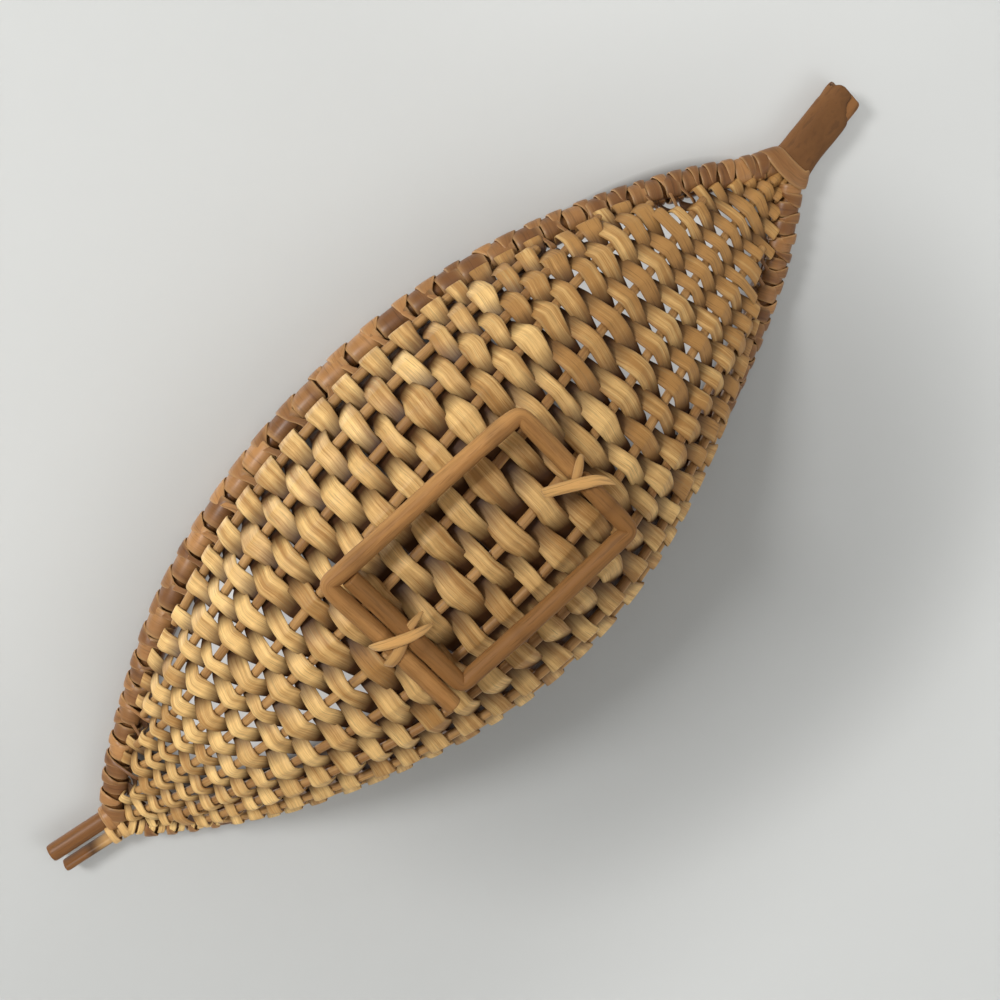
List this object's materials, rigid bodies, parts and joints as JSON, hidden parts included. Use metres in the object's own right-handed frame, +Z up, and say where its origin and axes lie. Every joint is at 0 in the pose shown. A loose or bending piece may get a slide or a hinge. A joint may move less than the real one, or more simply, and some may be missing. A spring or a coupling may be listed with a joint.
{
  "type": "footed wicker basket",
  "caption": "Shallow boat-shaped wicker basket with pointed ends, a short handle stub at each end and a low rectangular rod foot.",
  "frame": {"origin": "bottom centre of the whole basket, on the plane that the foot's two rails stand on", "axes": "+Z up out of the open top, +X along the length from the bare rod handle to the sheathed handle, -Y out of the front wall"},
  "size_m": [0.4094, 0.1422, 0.0845],
  "materials": {
    "rim_willow": "whole willow rod in brown bark, satin",
    "rib_willow": "thin willow rod, brown, dry",
    "split_willow": "split willow skein, straw to tan, fibrous, satin",
    "foot_willow": "bent willow rod, brown, dry",
    "bark": "brown bark strip, satin",
    "tie_willow": "flat tie skein, tan"
  },
  "bodies": {
    "root": {"rim_rod_front": "rim_willow", "rim_rod_back": "rim_willow", "rib_01": "rib_willow", "rib_02": "rib_willow", "rib_03": "rib_willow", "rib_04": "rib_willow", "rib_05": "rib_willow", "rib_06": "rib_willow", "rib_07": "rib_willow", "rib_08": "rib_willow", "rib_09": "rib_willow", "rib_10": "rib_willow", "rib_11": "rib_willow", "skein_01": "split_willow", "skein_02": "split_willow", "skein_03": "split_willow", "skein_04": "split_willow", "skein_05": "split_willow", "skein_06": "split_willow", "skein_07": "split_willow", "skein_08": "split_willow", "skein_09": "split_willow", "skein_10": "split_willow", "skein_11": "split_willow", "skein_12": "split_willow", "skein_13": "split_willow", "skein_14": "split_willow", "left_lashing": "tie_willow", "right_lashing": "tie_willow", "handle_sheath": "bark", "foot_rod_front": "foot_willow", "foot_rod_back": "foot_willow", "foot_tie_left": "tie_willow", "foot_tie_right": "tie_willow"}
  },
  "joints": []
}
